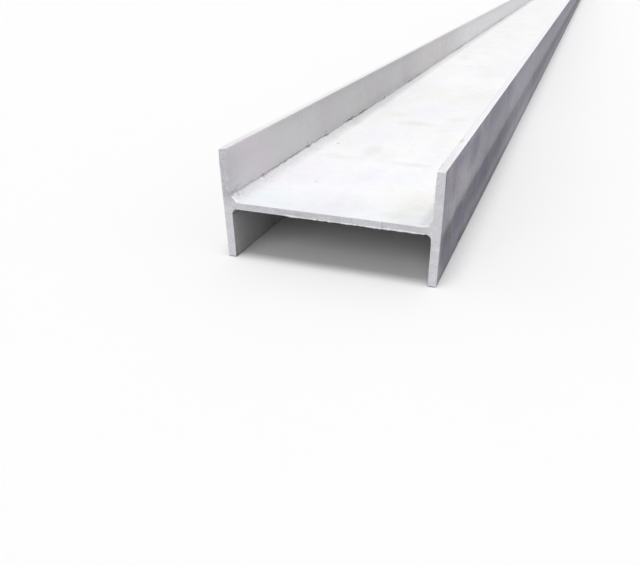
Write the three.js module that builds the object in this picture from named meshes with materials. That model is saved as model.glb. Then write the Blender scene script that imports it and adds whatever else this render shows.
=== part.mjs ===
// Hot-rolled steel H-beam, section 200 x 100 mm with a 6 mm web and 8 mm flanges, one
// stock length.
//
// The beam lies as it is stacked: it stands on the toes of its two flanges, with the
// web level between them. A rolled beam is one piece of steel, so it is one solid:
// the section's outline, with its root fillets and eased toes, run along the length
// and cut square at both ends.
//
// Units are millimetres and +Z is up. +Y runs along the beam and +X across its depth,
// from flange to flange. The origin is midway along the beam, on the floor.

import * as THREE from "three";

// The rolled section.
const SECTION_DEPTH = 200; // over the outer faces of the flanges
const FLANGE_WIDTH = 100; // from toe to toe
const FLANGE_THICKNESS = 8;
const WEB_THICKNESS = 6;
const ROOT_RADIUS = 5; // fillet where a flange meets the web
const TOE_RADIUS = 1.2; // eased edge of a flange toe

// The stock length.
const BEAM_LENGTH = 6000;

// Each quarter-round of the outline has twice this many facets.
const ARC_SEGMENTS = 5;

// The four quarters of the section, counter-clockwise from +X +Z, as mirror signs.
const QUARTERS = [
  [1, 1],
  [-1, 1],
  [-1, -1],
  [1, -1],
];

/** Pickled steel: a light, cool, matt grey. */
function steelMaterial() {
  return new THREE.MeshStandardMaterial({
    name: "matt_steel",
    color: 0xc6c7cb,
    roughness: 0.58,
    metalness: 0.55,
  });
}

/**
 * The three corners of one quarter of the section, from the flange's outer face to the
 * web: the two edges of the toe and the root. Each holds the radius that rounds it.
 */
function quarterCorners() {
  const outerFace = SECTION_DEPTH / 2;
  const innerFace = outerFace - FLANGE_THICKNESS;
  const toe = FLANGE_WIDTH / 2;
  const webFace = WEB_THICKNESS / 2;
  return [
    { point: new THREE.Vector2(outerFace, toe), radius: TOE_RADIUS },
    { point: new THREE.Vector2(innerFace, toe), radius: TOE_RADIUS },
    { point: new THREE.Vector2(innerFace, webFace), radius: ROOT_RADIUS },
  ];
}

/** All corners of the H, counter-clockwise: the quarter mirrored into all four. */
function sectionCorners() {
  return QUARTERS.flatMap(([signX, signZ]) => {
    const mirror = new THREE.Vector2(signX, signZ);
    const corners = quarterCorners().map(({ point, radius }) => ({
      point: point.multiply(mirror),
      radius,
    }));
    const turnsOver = signX * signZ < 0;
    return turnsOver ? corners.reverse() : corners;
  });
}

/**
 * A closed outline through square corners, each rounded by a tangent quarter-circle.
 * An arc runs clockwise in a root, where the outline turns right, and
 * counter-clockwise round a toe.
 */
function roundedOutline(corners) {
  const outline = new THREE.Shape();
  corners.forEach(({ point, radius }, index) => {
    const before = corners.at(index - 1).point;
    const after = corners[(index + 1) % corners.length].point;
    const backward = before.clone().sub(point).normalize();
    const forward = after.clone().sub(point).normalize();
    const centre = point.clone().addScaledVector(backward, radius).addScaledVector(forward, radius);
    const startAngle = forward.clone().negate().angle();
    const endAngle = backward.clone().negate().angle();
    const turnsRight = forward.cross(backward) < 0;
    outline.absarc(centre.x, centre.y, radius, startAngle, endAngle, turnsRight);
  });
  outline.closePath();
  return outline;
}

/** The beam's solid: the section run along +Y, centred on the length, toes on the floor. */
function beamGeometry() {
  const geometry = new THREE.ExtrudeGeometry(roundedOutline(sectionCorners()), {
    depth: BEAM_LENGTH,
    steps: 1,
    bevelEnabled: false,
    curveSegments: ARC_SEGMENTS,
  });
  geometry.translate(0, 0, -BEAM_LENGTH / 2);
  geometry.rotateX(Math.PI / 2);
  return geometry;
}

/** The beam as one named mesh, raised so that its lower toes touch the floor. */
function beamMesh() {
  const beam = new THREE.Mesh(beamGeometry(), steelMaterial());
  beam.name = "h_beam";
  beam.position.z = FLANGE_WIDTH / 2;
  return beam;
}

const group = new THREE.Group();
group.name = "steel_h_beam";
group.add(beamMesh());

export default group;
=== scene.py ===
"""Dresses a rolled steel H-beam that lies on the toes of its flanges.

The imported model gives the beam's box and stays as the frame. Round it this script builds the
steel that is seen: one closed skin whose section is carried along the beam, with the slight
waves and the nicked toes of a rolled section; the uneven seam of metal in each root; and the
ragged burr that the cut leaves under the web.

Units are metres. +Z is up, +Y runs along the beam and +X across its depth, from flange to
flange. The near end is the one at -Y.
"""

import logging
import math
from collections.abc import Callable
from dataclasses import dataclass
from enum import Enum

import bpy
import numpy as np
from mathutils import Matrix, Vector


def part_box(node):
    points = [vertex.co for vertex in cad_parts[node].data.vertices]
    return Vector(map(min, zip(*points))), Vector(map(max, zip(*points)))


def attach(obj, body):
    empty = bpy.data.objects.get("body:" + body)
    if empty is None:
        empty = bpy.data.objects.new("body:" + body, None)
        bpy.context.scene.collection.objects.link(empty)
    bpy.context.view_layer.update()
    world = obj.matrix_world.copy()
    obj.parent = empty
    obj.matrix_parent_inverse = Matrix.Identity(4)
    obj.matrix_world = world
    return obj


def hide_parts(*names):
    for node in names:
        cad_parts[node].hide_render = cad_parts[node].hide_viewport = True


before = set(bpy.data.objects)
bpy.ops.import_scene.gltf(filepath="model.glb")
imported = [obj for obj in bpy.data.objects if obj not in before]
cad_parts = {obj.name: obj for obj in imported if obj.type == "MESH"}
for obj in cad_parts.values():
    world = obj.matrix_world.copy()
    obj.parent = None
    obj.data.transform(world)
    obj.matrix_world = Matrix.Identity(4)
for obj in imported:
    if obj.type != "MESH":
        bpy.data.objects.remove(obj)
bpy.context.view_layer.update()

NODE = "h_beam"
BODY = "root"
MM = 0.001

log = logging.getLogger("h_beam")


class End(Enum):
    """An end of the beam; the value is the sign of its Y."""

    NEAR = -1
    FAR = 1


class Side(Enum):
    """A side of the beam; the value is the sign of its X."""

    LEFT = -1
    RIGHT = 1


class Level(Enum):
    """Above or below the web; the value is the sign of the height over its middle."""

    UPPER = 1
    LOWER = -1


# ------------------------------------------------------------------ numbers that look random


def smooth_step(share: np.ndarray) -> np.ndarray:
    """3t^2 - 2t^3, with t held between 0 and 1."""
    share = np.clip(share, 0.0, 1.0)
    return share * share * (3 - 2 * share)


def bell(distance: np.ndarray, width: float) -> np.ndarray:
    """A bell curve, 1 at no distance and falling over about one width."""
    return np.exp(-((distance / width) ** 2))


class SmoothNoise:
    """Smooth random values over a plane, the same on each run.

    Random numbers stand on the corners of a square lattice of side one, and a value between
    them is their blend by the smooth step 3t^2 - 2t^3 in each direction. The lattice repeats.
    """

    LATTICE = 509

    def __init__(self, seed: int) -> None:
        """Fills the lattice.

        Args:
            seed: picks the set of random numbers.
        """
        self.corners = np.random.default_rng(seed).uniform(-1.0, 1.0, (self.LATTICE, self.LATTICE))

    def __call__(self, across: np.ndarray, along: np.ndarray) -> np.ndarray:
        """The value at each pair of lattice coordinates.

        Args:
            across: first coordinate, in lattice cells.
            along: second coordinate, in lattice cells, of a shape that broadcasts with it.

        Returns:
            Values from -1 to 1.
        """
        across, along = np.broadcast_arrays(across, along)
        column = np.floor(across).astype(int)
        row = np.floor(along).astype(int)
        right = smooth_step(across - column)
        up = smooth_step(along - row)
        column, row = column % self.LATTICE, row % self.LATTICE
        next_column, next_row = (column + 1) % self.LATTICE, (row + 1) % self.LATTICE
        low = self.corners[column, row] * (1 - right) + self.corners[next_column, row] * right
        high = self.corners[column, next_row] * (1 - right) + self.corners[next_column, next_row] * right
        return low * (1 - up) + high * up


# ------------------------------------------------------------------ meshes from arrays


def grid_quads(rows: int, columns: int, wrap: bool = False) -> np.ndarray:
    """The four corners of each cell of a grid stored row by row.

    Args:
        rows: points down the grid.
        columns: points across it.
        wrap: whether the last column joins the first.

    Returns:
        An (n, 4) array of vertex numbers.
    """
    row = np.arange(rows - 1)[:, None] * columns
    column = np.arange(columns if wrap else columns - 1)[None, :]
    following = (column + 1) % columns
    corners = (row + column, row + following, row + columns + following, row + columns + column)
    return np.stack([corner.ravel() for corner in corners], axis=1)


@dataclass
class Patch:
    """Points and the quads between them."""

    points: np.ndarray  # (n, 3) positions
    quads: np.ndarray  # (m, 4) vertex numbers, counter-clockwise seen from outside

    @staticmethod
    def from_grid(grid: np.ndarray, wrap: bool = False, flip: bool = False) -> "Patch":
        """A patch over a grid of points.

        Args:
            grid: (rows, columns, 3) positions.
            wrap: whether the last column joins the first.
            flip: whether the faces turn over.

        Returns:
            The patch.
        """
        quads = grid_quads(grid.shape[0], grid.shape[1], wrap)
        return Patch(grid.reshape(-1, 3), quads[:, ::-1] if flip else quads)

    @staticmethod
    def joined(patches: list["Patch"], merge: float) -> "Patch":
        """One patch of several, with points closer than a tolerance made one.

        Args:
            patches: what is joined.
            merge: the tolerance, in metres.

        Returns:
            The joined patch.
        """
        starts = np.cumsum([0] + [len(patch.points) for patch in patches[:-1]])
        points = np.concatenate([patch.points for patch in patches])
        quads = np.concatenate([patch.quads + start for patch, start in zip(patches, starts)])
        cells = np.round(points / merge).astype(np.int64)
        _, kept, number = np.unique(cells, axis=0, return_index=True, return_inverse=True)
        return Patch(points[kept], number.ravel()[quads])

    @staticmethod
    def tube(rings: np.ndarray, flip: bool = False) -> "Patch":
        """A closed tube: rings of points joined one to the next, with a lid at each end.

        A lid is a fan of quads about its ring's last point.

        Args:
            rings: (rings, points, 3) positions, an even number of points to a ring.
            flip: whether the faces turn over.

        Returns:
            The tube, its points in the order of the rings.
        """
        count = rings.shape[1]
        side = grid_quads(rings.shape[0], count, wrap=True)
        first = np.arange(0, count - 2, 2)
        fan = np.stack([np.full(len(first), count - 1), first, first + 1, first + 2], axis=1)
        lid = fan[:, ::-1] + (rings.shape[0] - 1) * count
        quads = np.concatenate([side, fan, lid])
        return Patch(rings.reshape(-1, 3), quads[:, ::-1] if flip else quads)

    def mesh_object(self, name: str, crease_deg: float, **attributes: np.ndarray) -> bpy.types.Object:
        """The patch as a Blender object at the origin.

        Args:
            name: the piece's name.
            crease_deg: edges that turn by more than this stay sharp.
            attributes: a value for each point, kept in the mesh under its keyword.

        Returns:
            The new object, linked into the scene.
        """
        mesh = bpy.data.meshes.new(name)
        mesh.vertices.add(len(self.points))
        mesh.vertices.foreach_set("co", self.points.astype(np.float32).ravel())
        mesh.loops.add(self.quads.size)
        mesh.loops.foreach_set("vertex_index", self.quads.astype(np.int32).ravel())
        mesh.polygons.add(len(self.quads))
        mesh.polygons.foreach_set("loop_start", np.arange(0, self.quads.size, 4, dtype=np.int32))
        mesh.update(calc_edges=True)
        mesh.validate()
        mesh.polygons.foreach_set("use_smooth", np.ones(len(mesh.polygons), dtype=bool))
        mesh.set_sharp_from_angle(angle=math.radians(crease_deg))
        for key, values in attributes.items():
            layer = mesh.attributes.new(key, "FLOAT", "POINT")
            layer.data.foreach_set("value", values.astype(np.float32).ravel())
        piece = bpy.data.objects.new(name, mesh)
        bpy.context.scene.collection.objects.link(piece)
        return piece


# ------------------------------------------------------------------ the rolled section


@dataclass(frozen=True)
class Section:
    """The rolled H section about its own centre, +x across its depth and +z up."""

    half_depth: float  # from the centre to the outer face of a flange
    half_width: float  # from the centre to a toe
    flange_thickness: float = 8 * MM
    web_thickness: float = 6 * MM
    root_radius: float = 5 * MM  # fillet between web and flange
    toe_radius: float = 1.2 * MM  # eased edge of a toe
    root_levels: int = 4  # rows of cells from the mid-plane to the root fillet's upper end
    level_steps: int = 7  # rows of cells from there to the toe
    level_growth: float = 2.2  # power by which those rows widen away from the root
    toe_steps: int = 3  # cells round an eased edge
    toe_columns: int = 2  # cells across the flat of a toe
    root_steps: int = 10  # cells round a root fillet
    web_steps: int = 6  # cells from the root fillet to the middle of the web

    @property
    def inner_face(self) -> float:
        """x of a flange's inner face."""
        return self.half_depth - self.flange_thickness

    @property
    def root_top(self) -> float:
        """z where the root fillet meets the flange's inner face."""
        return self.web_thickness / 2 + self.root_radius

    @property
    def root_end(self) -> float:
        """x where the root fillet meets the web."""
        return self.inner_face - self.root_radius

    def levels(self) -> np.ndarray:
        """Heights of the rows up a flange, from the mid-plane to the start of the eased edge."""
        through_root = np.linspace(0, self.root_top, self.root_levels + 1)
        share = np.linspace(0, 1, self.level_steps + 1)[1:] ** self.level_growth
        above = self.root_top + share * (self.half_width - self.toe_radius - self.root_top)
        return np.concatenate([through_root, above])

    def quarter(self) -> tuple[np.ndarray, np.ndarray]:
        """The +x +z quarter of the outline, counter-clockwise from outer face to mid-web.

        Straight stretches run between quarter circles: up the outer face, round the toe's two
        eased edges, down the inner face, round the root and along the web.

        Returns:
            (n, 2) points and (n, 2) unit normals that point out of the steel.
        """
        levels = self.levels()
        eased = np.linspace(0, math.pi / 2, self.toe_steps + 1)
        outer_toe = self._toe_edge(self.half_depth - self.toe_radius, eased)
        inner_toe = self._toe_edge(self.inner_face + self.toe_radius, eased + math.pi / 2)
        toe_x = np.linspace(outer_toe[0][-1, 0], inner_toe[0][0, 0], self.toe_columns + 1)
        spoke = self.spoke(np.linspace(0, -math.pi / 2, self.root_steps + 1))
        root = np.array([self.root_end, self.root_top]) + self.root_radius * spoke
        web_x = np.linspace(self.root_end, 0, self.web_steps + 1)
        inner_levels = levels[self.root_levels :][::-1]
        spans = [
            self._line(self.half_depth, levels, (1, 0)),
            outer_toe,
            self._line(toe_x, self.half_width, (0, 1)),
            inner_toe,
            self._line(self.inner_face, inner_levels, (-1, 0)),
            (root, -spoke),
            self._line(web_x, self.web_thickness / 2, (0, 1)),
        ]
        points, normals = (
            np.concatenate([*(array[:-1] for array in arrays), arrays[-1][-1:]]) for arrays in zip(*spans)
        )
        return points, normals

    @staticmethod
    def spoke(angles: np.ndarray) -> np.ndarray:
        """Unit vectors (cos, sin) at these angles."""
        return np.stack([np.cos(angles), np.sin(angles)], axis=1)

    def _toe_edge(self, centre_x: float, angles: np.ndarray) -> tuple[np.ndarray, np.ndarray]:
        """An eased edge of a toe: its centre plus the radius times each spoke, and the spokes."""
        centre = np.array([centre_x, self.half_width - self.toe_radius])
        return centre + self.toe_radius * self.spoke(angles), self.spoke(angles)

    @staticmethod
    def _line(
        x: np.ndarray | float, z: np.ndarray | float, normal: tuple[int, int]
    ) -> tuple[np.ndarray, np.ndarray]:
        """A straight stretch, where x or z is one number: its points and their normals."""
        points = np.stack(np.broadcast_arrays(x, z), axis=1)
        return points, np.tile(np.array(normal, dtype=float), (len(points), 1))

    def outline(self) -> tuple[np.ndarray, np.ndarray]:
        """The whole outline, counter-clockwise: the quarter mirrored into all four.

        Returns:
            (4(n - 1), 2) points and normals, where n is the quarter's count.
        """
        quarter = self.quarter()
        mirrors = (((1, 1), False), ((-1, 1), True), ((-1, -1), False), ((1, -1), True))
        whole = []
        for array in quarter:
            parts = [(array * np.array(sign))[:: -1 if turned else 1][:-1] for sign, turned in mirrors]
            whole.append(np.concatenate(parts))
        return whole[0], whole[1]

    @property
    def toe_start(self) -> int:
        """Number, within a quarter, of the point where the toe's flat starts."""
        return self.root_levels + self.level_steps + self.toe_steps

    @property
    def root_start(self) -> int:
        """Number, within a quarter, of the point where the root fillet starts."""
        return self.toe_start + self.toe_columns + self.toe_steps + self.level_steps

    @property
    def mid_web(self) -> int:
        """Number, within a quarter, of its last point, in the middle of the web."""
        return self.root_start + self.root_steps + self.web_steps

    def numbers(self, quarter: int, within: np.ndarray) -> np.ndarray:
        """Numbers in the outline of a quarter's points.

        Args:
            quarter: 0 to 3, counter-clockwise from +x +z.
            within: numbers within the quarter.

        Returns:
            Numbers within the outline.
        """
        step = within if quarter % 2 == 0 else self.mid_web - within
        return (quarter * self.mid_web + step) % (4 * self.mid_web)

    def end_grids(self, loop: np.ndarray) -> list[np.ndarray]:
        """Three grids of points that fill the H: the web with its fillets, and each flange.

        The web's columns run straight from its upper side to its lower one. A flange's rows run
        straight from its inner side to its outer one, and through the root the inner side is
        the web's end column.

        Args:
            loop: (n, 3) points of the outline.

        Returns:
            Three (rows, columns, 3) grids, each turned to face -Y.
        """
        half = np.arange(self.root_start, self.mid_web + 1)
        upper = np.concatenate([self.numbers(1, half), self.numbers(0, half[:-1][::-1])])
        lower = np.concatenate([self.numbers(2, half), self.numbers(3, half[:-1][::-1])])
        rise = np.linspace(0, 1, 2 * self.root_levels + 1)[:, None, None]
        web = loop[lower] * (1 - rise) + loop[upper] * rise
        grids = [web]
        inner = np.arange(self.toe_start + self.toe_columns, self.root_start)
        outer = np.arange(self.toe_start + 1)
        toe = np.arange(self.toe_start, self.toe_start + self.toe_columns + 1)[::-1]
        across = np.linspace(0, 1, self.toe_columns + 1)[None, :, None]
        for low, high, side in ((3, 0, -1), (2, 1, 0)):
            lower_inner = loop[self.numbers(low, inner)]
            upper_inner = loop[self.numbers(high, inner[::-1])]
            inside = np.concatenate([lower_inner, web[:, side], upper_inner])
            outside = loop[np.concatenate([self.numbers(low, outer[:0:-1]), self.numbers(high, outer)])]
            grid = inside[:, None] * (1 - across) + outside[:, None] * across
            grid[0], grid[-1] = loop[self.numbers(low, toe)], loop[self.numbers(high, toe)]
            grids.append(grid if side == -1 else grid[:, ::-1])
        return grids


# ------------------------------------------------------------------ the skin of the beam


@dataclass(frozen=True)
class Wear:
    """Depths and lengths of what rolling, cutting and handling leave, in metres."""

    wave_depth: float = 0.14 * MM  # broad unevenness of the faces
    wave_across: float = 70 * MM  # its size round the section
    wave_along: float = 420 * MM  # its size along the beam
    ripple_depth: float = 0.05 * MM  # small unevenness of the faces
    ripple_size: float = 9 * MM  # its size
    nick_depth: float = 0.45 * MM  # depth of the nicks along the toes
    nick_size: float = 6 * MM  # their length
    edge_inset: float = 0.08 * MM  # how far the cut eases the outline back
    chip_depth: float = 0.9 * MM  # chips off the toe edges at the cut ends
    chip_reach: float = 8 * MM  # how far from the end they go
    cut_inset: float = 0.3 * MM  # least depth of the cut face behind the lip of its burr
    cut_depth: float = 0.2 * MM  # unevenness of the cut face
    cut_fade: float = 6 * MM  # scale over which the sides follow that unevenness, away from the end

    def cut_relief(self, x: np.ndarray, z: np.ndarray) -> np.ndarray:
        """How far a cut face lies inside the beam's end, at a place on it."""
        broad = SmoothNoise(51)(x / (30 * MM), z / (24 * MM))
        fine = SmoothNoise(52)(x / (3 * MM), z / (1.6 * MM))
        return self.cut_inset + self.cut_depth * (0.5 + 0.4 * broad + 0.1 * fine)


def end_depths(steps: int, reach: float, half_length: float) -> np.ndarray:
    """Distances from a cut end to mid-length, close together at the end.

    The distance of step k is a(e^(bk) - 1), so the gaps grow with the distance.

    Args:
        steps: how many gaps there are.
        reach: a, the distance over which the gaps double, near enough.
        half_length: the last distance.

    Returns:
        steps + 1 distances, from 0.
    """
    growth = math.log(1 + half_length / reach) / steps
    return reach * (np.exp(growth * np.arange(steps + 1)) - 1)


@dataclass(frozen=True)
class Stations:
    """Stations along the beam, close together at both cut ends, as (n, 1) arrays."""

    along: np.ndarray  # y of each station
    from_end: np.ndarray  # its distance from the closer end
    gap: np.ndarray  # gap between it and its neighbours

    @staticmethod
    def spaced(steps: tuple[int, int], reach: tuple[float, float], half_length: float) -> "Stations":
        """Stations from the near end on.

        Args:
            steps: gaps in the near half and in the far half.
            reach: end_depths' reach, for each half.
            half_length: from mid-length to a cut end.

        Returns:
            The stations.
        """
        near, far = (end_depths(count, size, half_length) for count, size in zip(steps, reach))
        along = np.concatenate([near - half_length, (half_length - far)[::-1][1:]])[:, None]
        from_end = np.concatenate([near, far[::-1][1:]])[:, None]
        return Stations(along, from_end, np.gradient(along[:, 0])[:, None])

    def shown(self, size: float) -> np.ndarray:
        """Share of a feature's height that the gaps between the stations can show."""
        return np.clip(size / (2.5 * self.gap) - 0.3, 0.0, 1.0)

    def noise(self, seed: int, across: np.ndarray | float, size: float) -> np.ndarray:
        """Smooth noise of this length along the beam, at lattice places across it."""
        return SmoothNoise(seed)(across, self.along / size)

    def shown_noise(self, seed: int, across: np.ndarray | float, size: float) -> np.ndarray:
        """The same noise, only as high as the gaps can show."""
        return self.noise(seed, across, size) * self.shown(size)


@dataclass(frozen=True)
class BeamPart:
    """What each piece of the beam, and its finish, is built on."""

    section: Section
    half_length: float  # from mid-length to a cut end
    mid_height: float  # height of the section's centre above the floor
    wear: Wear  # depths of what rolling and cutting leave

    def cut_slant(self, line: Stations, x: np.ndarray, z: np.ndarray) -> np.ndarray:
        """How far points of the sides are drawn in, so that they end on the uneven cut face."""
        return self.wear.cut_relief(x, z) * np.exp(-line.from_end / self.wear.cut_fade)


@dataclass(frozen=True)
class BeamSkin(BeamPart):
    """The beam's surface: the section carried along its length, closed by the two cut ends."""

    # gaps between sections along the near half and the far half of the beam
    steps: tuple[int, int] = (380, 200)
    # scale over which the sections stand close together at each end
    reach: tuple[float, float] = (60 * MM, 20 * MM)
    merge: float = 0.002 * MM  # points closer than this are one
    crease_deg: float = 40.0  # edges that turn by more than this stay sharp

    def surface(self) -> np.ndarray:
        """Points of the skin: station by station along the beam, round the outline at each.

        Each point is the true outline's, moved along its normal and only inwards, so that the
        skin stays inside the rolled size.

        Returns:
            A (stations, outline, 3) grid.
        """
        outline, normals = self.section.outline()
        line = Stations.spaced(self.steps, self.reach, self.half_length)
        step = np.linalg.norm(np.roll(outline, -1, axis=0) - outline, axis=1)
        girth = (np.cumsum(step) - step)[None, :]
        eased = self.wear.edge_inset * np.clip(1 - line.from_end / (2 * self.wear.edge_inset), 0, 1)
        inwards = self._faces(girth, line) + self._toes(outline, line) + eased
        grid = np.empty((len(line.along), len(outline), 3))
        grid[..., 0] = outline[:, 0] - inwards * normals[:, 0]
        grid[..., 2] = outline[:, 1] - inwards * normals[:, 1] + self.mid_height
        grid[..., 1] = line.along - np.sign(line.along) * self.cut_slant(line, grid[..., 0], grid[..., 2])
        return grid

    def _faces(self, girth: np.ndarray, line: Stations) -> np.ndarray:
        """Depth of the broad waves and the small ripples, never above the true face."""
        wear = self.wear
        wave = line.noise(11, girth / wear.wave_across, wear.wave_along)
        ripple = line.noise(12, girth / wear.ripple_size, 2 * wear.ripple_size)
        small = wear.ripple_depth * (0.5 + 0.5 * ripple) * line.shown(2 * wear.ripple_size)
        return wear.wave_depth * (0.5 + 0.5 * wave) + small

    def _toes(self, outline: np.ndarray, line: Stations) -> np.ndarray:
        """Depth of the nicks along the toes, with deeper chips close to the cut ends."""
        wear, section = self.wear, self.section
        toe = smooth_step((np.abs(outline[:, 1]) - section.half_width + 2.2 * MM) / (1.4 * MM))
        corner = outline[:, 0] / (0.6 * section.flange_thickness) + np.sign(outline[:, 1]) * 31
        nick = smooth_step((line.noise(31, corner, wear.nick_size) - 0.35) / 0.5)
        chip = smooth_step((line.noise(32, corner, 0.6 * wear.nick_size) + 0.1) / 0.6)
        nick = wear.nick_depth * nick * line.shown(wear.nick_size)
        return toe * (nick + wear.chip_depth * chip * bell(line.from_end, wear.chip_reach))

    def cut_face(self, loop: np.ndarray, end: End) -> list[Patch]:
        """The cut face inside an end's outline.

        Args:
            loop: (n, 3) points of the outline at the end.
            end: which end it closes.

        Returns:
            Three patches, which share the outline's points.
        """
        patches = []
        for grid in self.section.end_grids(loop):
            relief = self.wear.cut_relief(grid[..., 0], grid[..., 2])
            grid[..., 1] = end.value * (self.half_length - relief)
            patches.append(Patch.from_grid(grid, flip=end is End.FAR))
        return patches

    def build(self) -> bpy.types.Object:
        """The whole skin as one closed mesh."""
        grid = self.surface()
        patches = [Patch.from_grid(grid, wrap=True, flip=True)]
        patches += self.cut_face(grid[0], End.NEAR)
        patches += self.cut_face(grid[-1], End.FAR)
        return Patch.joined(patches, self.merge).mesh_object("beam_skin", self.crease_deg)


# ------------------------------------------------------------------ seams and burrs


# y, half length and strength of the places where the upper roots' edge line is darkest.
DARK_PLACES = (
    (-2.990, 0.005, 0.7),
    (-2.934, 0.004, 0.9),
    (-2.880, 0.050, 0.35),
    (-2.816, 0.006, 0.7),
    (-2.758, 0.006, 1.0),
    (-2.672, 0.018, 1.1),
    (-2.625, 0.030, 0.6),
    (-2.520, 0.040, 0.5),
    (-2.300, 0.090, 0.5),
    (-1.900, 0.080, 0.5),
    (-1.200, 0.120, 0.6),
    (0.300, 0.100, 0.6),
    (1.700, 0.090, 0.6),
    (2.760, 0.030, 0.8),
)


@dataclass(frozen=True)
class RootSeam(BeamPart):
    """The uneven metal of one root: a lumpy strip laid into the fillet, dark along its edge."""

    side: Side
    level: Level
    fill: float = 0.0  # share of the fillet's hollow that it fills
    lumps: float = 0.10 * MM  # height of its lumps
    climb: float = 0.0  # how much further up the flange it reaches at the near end
    climb_fade: float = 35 * MM  # scale over which that ends
    sag: float = 0.0  # how much further down its edge lies beyond the first half metre
    sag_start: float = 80 * MM  # distance from the near end where that starts
    sag_run: float = 420 * MM  # distance over which it grows
    curl: float = 0.0  # height of the curl at its near end
    # y, half length and strength of the places where its edge line is darkest
    dark_places: tuple[tuple[float, float, float], ...] = ()
    steps: tuple[int, int] = (700, 400)  # gaps between stations along the near half and the far half
    # scale over which the stations stand close together at each end
    reach: tuple[float, float] = (350 * MM, 90 * MM)
    sunk: float = 0.15 * MM  # how deep the strip's edges lie in the steel
    buried: float = 0.8 * MM  # how deep a ring's last point lies behind the flange's face and under the web's
    tuck: float = 0.04 * MM  # how far the strip's ends stay behind the skin's
    # places of the first points of a row, from its edge line down
    lip: tuple[float, ...] = (-2.2 * MM, -1.5 * MM, -0.9 * MM, -0.45 * MM, -0.1 * MM, 0.2 * MM, 0.55 * MM)
    columns: int = 10  # points from the last of those to its foot
    foot: float = 2.2 * MM  # how far along the web that is
    crease_deg: float = 60.0  # edges that turn by more than this stay sharp

    @property
    def row(self) -> float:
        """Row of the noises that this root reads, so that no two roots are alike."""
        return self.side.value * 7.3 + self.level.value * 3.1

    def build(self) -> bpy.types.Object:
        """The strip: rings of points carried along the root.

        Each ring is a row of points down the fillet, from the flange to the web, and one
        point deep in the corner. A point of the row lies at P(s) + N(s) h(s, y), where P runs
        down the flange, round the fillet and along the web, N is its normal, and s starts at
        the strip's wandering edge line.
        """
        section = self.section
        line = Stations.spaced(self.steps, self.reach, self.half_length)
        edge = self._edge(line)
        quarter_turn = section.root_radius * math.pi / 2
        last = quarter_turn + self.foot
        share = np.linspace(0, 1, self.columns + 1)[None, 1:]
        lip = edge + np.array(self.lip)[None, :]
        down = np.concatenate([lip, lip[:, -1:] + share * (last - lip[:, -1:])], axis=1)
        turn = np.clip(down / section.root_radius, 0, math.pi / 2)
        radius = section.root_radius - self._rise(down, edge, turn, line)

        rings = np.empty((len(line.along), down.shape[1] + 1, 3))
        beyond = np.maximum(down - quarter_turn, 0)
        rings[:, :-1, 0] = section.root_end + radius * np.cos(turn) - beyond
        rings[:, :-1, 2] = section.root_top - radius * np.sin(turn) - np.minimum(down, 0)
        rings[:, -1, 0] = section.inner_face + self.buried
        rings[:, -1, 2] = section.web_thickness / 2 - self.buried
        rings[..., 0] *= self.side.value
        rings[..., 2] = self.mid_height + self.level.value * rings[..., 2]
        slant = self.cut_slant(line, rings[..., 0], rings[..., 2])
        slant = slant + self.tuck * np.exp(-line.from_end / self.wear.cut_fade)
        rings[..., 1] = line.along - np.sign(line.along) * slant
        grime = np.concatenate([self._grime(down, edge, line), np.zeros_like(line.along)], axis=1)
        name = f"root_seam_{self.side.name}_{self.level.name}".lower()
        tube = Patch.tube(rings, flip=self.side.value == self.level.value)
        return tube.mesh_object(name, self.crease_deg, grime=grime)

    def _soiled(self, along: np.ndarray) -> np.ndarray:
        """How dirty and lumpy the strip is along the beam: the sum of the dark places' bells."""
        bells = (strength * bell(along - place, half) for place, half, strength in self.dark_places)
        return sum(bells, 0 * along)

    def _blots(self, line: Stations) -> np.ndarray:
        """1 in blots along the strip, where it is rougher and darker, and 0 between them."""
        return smooth_step((line.noise(67, self.row, 16 * MM) - 0.35) / 0.35)

    def _edge(self, line: Stations) -> np.ndarray:
        """Place of the edge line down from the fillet's upper end, along the beam."""
        row, along = self.row, line.along
        wander = 0.35 * line.noise(61, row, 45 * MM) + 0.22 * line.noise(62, row, 7 * MM)
        ragged = 0.34 * line.shown_noise(63, row, 2.0 * MM)
        kink = smooth_step((line.noise(60, row, 11 * MM) - 0.42) / 0.12) * line.shown(8 * MM)
        notch = line.shown_noise(59, row, 3.5 * MM) * self._soiled(along)
        up = self.climb * np.exp(-line.from_end / self.climb_fade) * (along < 0)
        down = self.sag * smooth_step((along + self.half_length - self.sag_start) / self.sag_run)
        return (wander + ragged - 0.6 * kink + 0.9 * notch) * MM - up + down

    def _rise(self, down: np.ndarray, edge: np.ndarray, turn: np.ndarray, line: Stations) -> np.ndarray:
        """Height of the strip over the true surface.

        Args:
            down: places of the points down the row.
            edge: place of the edge line.
            turn: angle round the fillet at each point.
            line: the stations.

        Returns:
            An array of down's shape.
        """
        hollow = self.section.root_radius * (1 - math.cos(math.pi / 4) / np.cos(turn - math.pi / 4))
        coarse = line.shown_noise(64, down / (4 * MM) + self.row, 8 * MM)
        fine = line.shown_noise(65, down / (1.5 * MM) + self.row, 2.4 * MM)
        patchy = line.noise(66, self.row, 80 * MM)
        rough = (0.40 + 0.6 * self._blots(line)) * fine
        lumps = np.clip(0.40 + 0.45 * coarse + rough + 0.25 * patchy, 0.0, 1.6)
        lumps = lumps * (1 + 1.1 * np.minimum(self._soiled(line.along), 1.0))
        swell = self.curl * bell(line.from_end - 2.0 * MM, 1.5 * MM) * (line.along < 0)
        swell = swell * smooth_step(turn / 0.3)
        from_top, to_foot = down - down[:, :1], down[:, -1:] - down
        body = smooth_step((down - edge) / (0.5 * MM)) * smooth_step(to_foot / (2 * MM))
        body = body * (self.fill * hollow + self.lumps * lumps + swell)
        ends = smooth_step(from_top / (0.7 * MM)) * smooth_step(to_foot / (0.9 * MM))
        return body + ends * (self.sunk + 0.03 * MM) - self.sunk

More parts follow.
